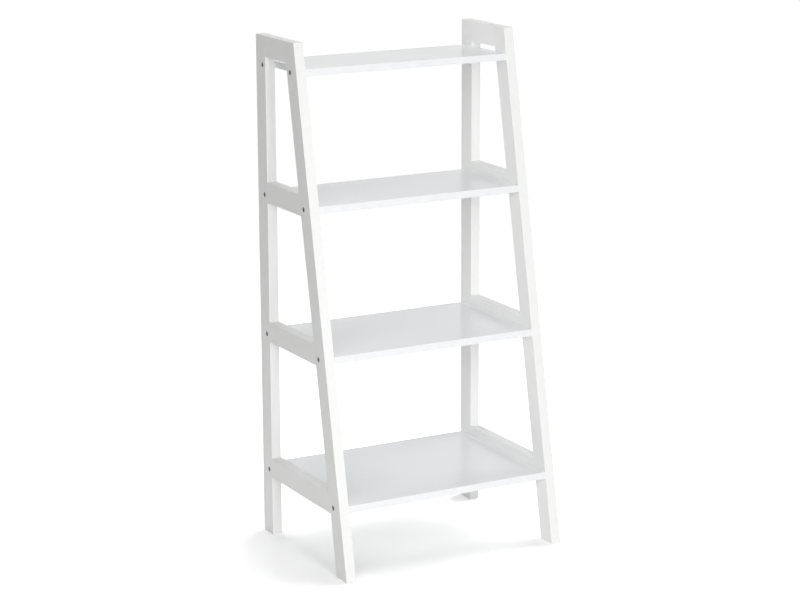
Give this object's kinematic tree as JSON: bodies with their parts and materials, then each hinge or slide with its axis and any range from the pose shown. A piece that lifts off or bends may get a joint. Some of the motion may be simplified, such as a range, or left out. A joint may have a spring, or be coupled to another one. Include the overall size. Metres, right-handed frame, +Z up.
{
  "type": "ladder shelf",
  "caption": "Free-standing ladder shelf: open side frames with upright rear legs and leaning front legs, and flat boards that grow deeper towards the floor, in white satin paint.",
  "frame": {"origin": "on the floor, under the middle of the outline", "axes": "+X along the boards to the viewer's right, +Y to the rear (the upright legs), +Z up"},
  "size_m": [0.524, 0.397, 1.1],
  "materials": {
    "frame_paint": "solid wood with a white satin paint film, edges eased",
    "shelf_paint": "fibreboard with a smooth white satin paint film",
    "screw_steel": "dark zinc-plated steel, hexagon socket heads",
    "dowel_wood": "raw beech"
  },
  "bodies": {
    "root": {"left_rear_leg": "frame_paint", "left_front_leg": "frame_paint", "left_top_rail": "frame_paint", "left_upper_rail": "frame_paint", "left_middle_rail": "frame_paint", "left_lower_rail": "frame_paint", "left_rear_dowels": "dowel_wood", "left_front_dowels": "dowel_wood", "right_rear_leg": "frame_paint", "right_front_leg": "frame_paint", "right_top_rail": "frame_paint", "right_upper_rail": "frame_paint", "right_middle_rail": "frame_paint", "right_lower_rail": "frame_paint", "right_rear_dowels": "dowel_wood", "right_front_dowels": "dowel_wood", "top_shelf": "shelf_paint", "top_shelf_screws": "screw_steel", "upper_shelf": "shelf_paint", "upper_shelf_screws": "screw_steel", "middle_shelf": "shelf_paint", "middle_shelf_screws": "screw_steel", "bottom_shelf": "shelf_paint", "bottom_shelf_screws": "screw_steel"}
  },
  "joints": []
}
